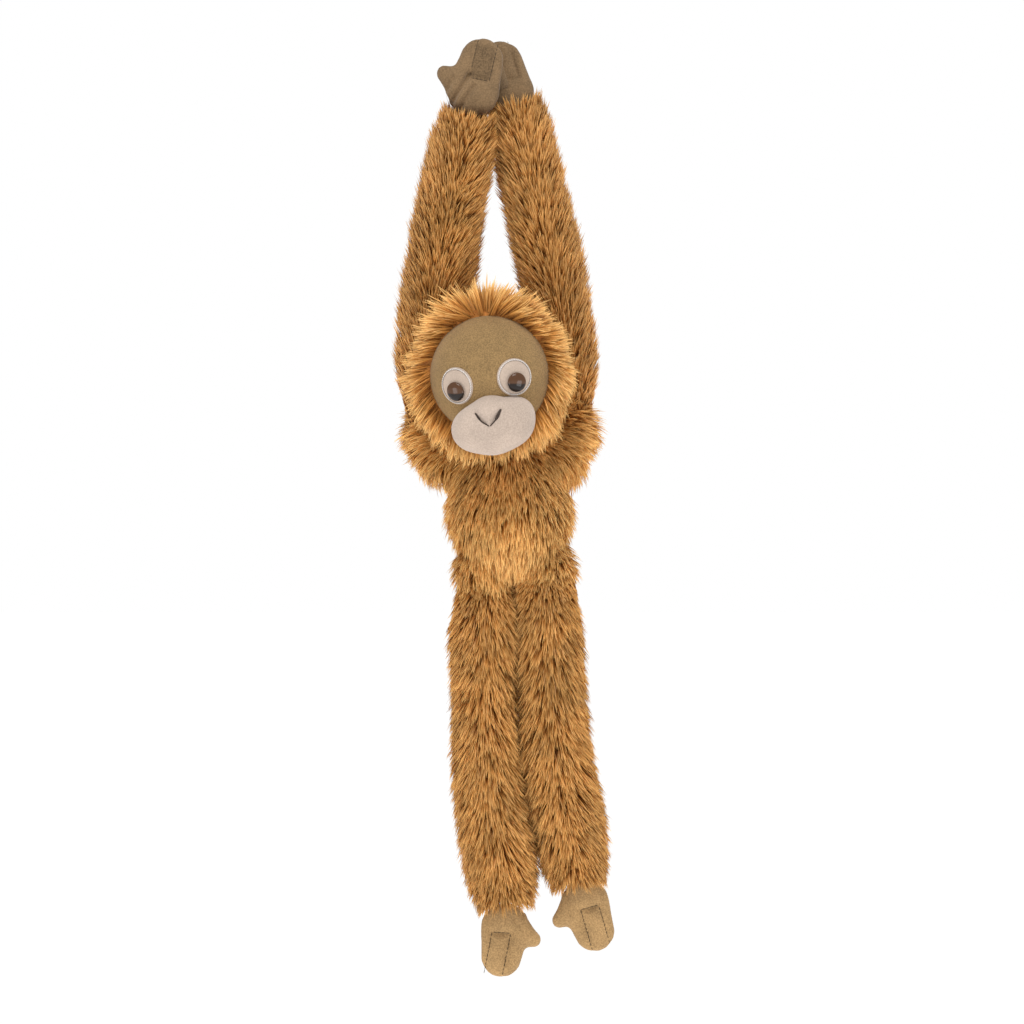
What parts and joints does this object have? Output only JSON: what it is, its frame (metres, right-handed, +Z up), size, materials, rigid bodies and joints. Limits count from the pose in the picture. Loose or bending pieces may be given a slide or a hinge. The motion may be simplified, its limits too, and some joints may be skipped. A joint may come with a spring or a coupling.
{
  "type": "hanging plush orangutan",
  "caption": "Long-armed hanging plush orangutan with orange long-pile fur, short-pile face, hands and feet, and hands that fasten palm to palm into a loop.",
  "frame": {"origin": "inside top of the loop that the arms make, just under the joined hands, where the toy hangs from a peg or rail", "axes": "+Z up along the hanging toy, -Y the way the face looks, +X to the toy's left (the viewer's right from the front)"},
  "size_m": [0.1205, 0.1037, 0.5169],
  "materials": {
    "long_pile": "long silky golden-orange pile on a knitted backing",
    "short_pile": "short tan velour",
    "muzzle_velour": "short pale pink-beige velour",
    "eye_felt": "pale pinkish felt with a stitched rim",
    "eye_plastic": "very dark brown glossy plastic",
    "washer": "natural plastic",
    "stuffing": "white polyester fibre",
    "dark_thread": "dark brown satin stitch",
    "tan_thread": "brown sewing thread",
    "neck_thread": "orange-brown sewing thread",
    "hook_tape": "brown hook tape",
    "loop_tape": "brown loop tape"
  },
  "bodies": {
    "torso": {"torso_skin": "long_pile", "torso_stuffing": "stuffing", "neck_thread": "neck_thread"},
    "head": {"head_hood": "long_pile", "head_stuffing": "stuffing", "face_panel": "short_pile", "muzzle_panel": "muzzle_velour", "muzzle_stuffing": "stuffing", "nose_stitching": "dark_thread", "right_eye_patch": "eye_felt", "right_eye": "eye_plastic", "right_eye_washer": "washer", "left_eye_patch": "eye_felt", "left_eye": "eye_plastic", "left_eye_washer": "washer"},
    "right_upper_arm": {"right_upper_arm_sleeve": "long_pile", "right_upper_arm_stuffing": "stuffing"},
    "right_forearm": {"right_forearm_sleeve": "long_pile", "right_forearm_stuffing": "stuffing"},
    "right_hand": {"right_hand_back": "short_pile", "right_hand_palm": "short_pile", "right_hand_stuffing": "stuffing", "right_finger_stitching": "tan_thread", "hook_patch": "hook_tape"},
    "right_thigh": {"right_thigh_sleeve": "long_pile", "right_thigh_stuffing": "stuffing"},
    "right_shin": {"right_shin_sleeve": "long_pile", "right_shin_stuffing": "stuffing"},
    "right_foot": {"right_foot_top": "short_pile", "right_foot_sole": "short_pile", "right_foot_stuffing": "stuffing", "right_toe_stitching": "tan_thread"},
    "left_upper_arm": {"left_upper_arm_sleeve": "long_pile", "left_upper_arm_stuffing": "stuffing"},
    "left_forearm": {"left_forearm_sleeve": "long_pile", "left_forearm_stuffing": "stuffing"},
    "left_hand": {"left_hand_back": "short_pile", "left_hand_palm": "short_pile", "left_hand_stuffing": "stuffing", "left_finger_stitching": "tan_thread", "loop_patch": "loop_tape"},
    "left_thigh": {"left_thigh_sleeve": "long_pile", "left_thigh_stuffing": "stuffing"},
    "left_shin": {"left_shin_sleeve": "long_pile", "left_shin_stuffing": "stuffing"},
    "left_foot": {"left_foot_top": "short_pile", "left_foot_sole": "short_pile", "left_foot_stuffing": "stuffing", "left_toe_stitching": "tan_thread"}
  },
  "joints": [
    {"name": "neck_nod", "type": "hinge", "parent": "torso", "child": "head", "pos_m": [-0.003, -0.008, -0.158], "axis": [1, 0, 0], "range_deg": [0, 25]},
    {"name": "right_shoulder_spread", "type": "hinge", "parent": "torso", "child": "right_upper_arm", "pos_m": [-0.043, 0.019, -0.152], "axis": [0, -1, 0], "range_deg": [0, 110]},
    {"name": "right_elbow_bend", "type": "hinge", "parent": "right_upper_arm", "child": "right_forearm", "pos_m": [-0.031, 0.011, -0.064], "axis": [1, 0, 0], "range_deg": [0, 65]},
    {"name": "right_wrist_bend", "type": "hinge", "parent": "right_forearm", "child": "right_hand", "pos_m": [-0.018, -0.0065, 0.012], "axis": [1, 0, 0], "range_deg": [0, 60]},
    {"name": "left_shoulder_spread", "type": "hinge", "parent": "torso", "child": "left_upper_arm", "pos_m": [0.044, 0.019, -0.152], "axis": [0, 1, 0], "range_deg": [0, 110]},
    {"name": "left_elbow_bend", "type": "hinge", "parent": "left_upper_arm", "child": "left_forearm", "pos_m": [0.028, 0.014, -0.064], "axis": [-1, 0, 0], "range_deg": [0, 65]},
    {"name": "left_wrist_bend", "type": "hinge", "parent": "left_forearm", "child": "left_hand", "pos_m": [0.015, 0.0065, 0.012], "axis": [-1, 0, 0], "range_deg": [0, 60]},
    {"name": "right_hip_swing", "type": "hinge", "parent": "torso", "child": "right_thigh", "pos_m": [-0.008, 0.008, -0.247], "axis": [-1, 0, 0], "range_deg": [-30, 90]},
    {"name": "right_knee_bend", "type": "hinge", "parent": "right_thigh", "child": "right_shin", "pos_m": [-0.006, 0.008, -0.336], "axis": [1, 0, 0], "range_deg": [0, 60]},
    {"name": "right_ankle_bend", "type": "hinge", "parent": "right_shin", "child": "right_foot", "pos_m": [0.004, 0.008, -0.417], "axis": [1, 0, 0], "range_deg": [-40, 40]},
    {"name": "left_hip_swing", "type": "hinge", "parent": "torso", "child": "left_thigh", "pos_m": [0.027, 0.008, -0.247], "axis": [-1, 0, 0], "range_deg": [-30, 90]},
    {"name": "left_knee_bend", "type": "hinge", "parent": "left_thigh", "child": "left_shin", "pos_m": [0.032, 0.008, -0.333], "axis": [1, 0, 0], "range_deg": [0, 60]},
    {"name": "left_ankle_bend", "type": "hinge", "parent": "left_shin", "child": "left_foot", "pos_m": [0.044, 0.008, -0.405], "axis": [1, 0, 0], "range_deg": [-40, 40]}
  ]
}
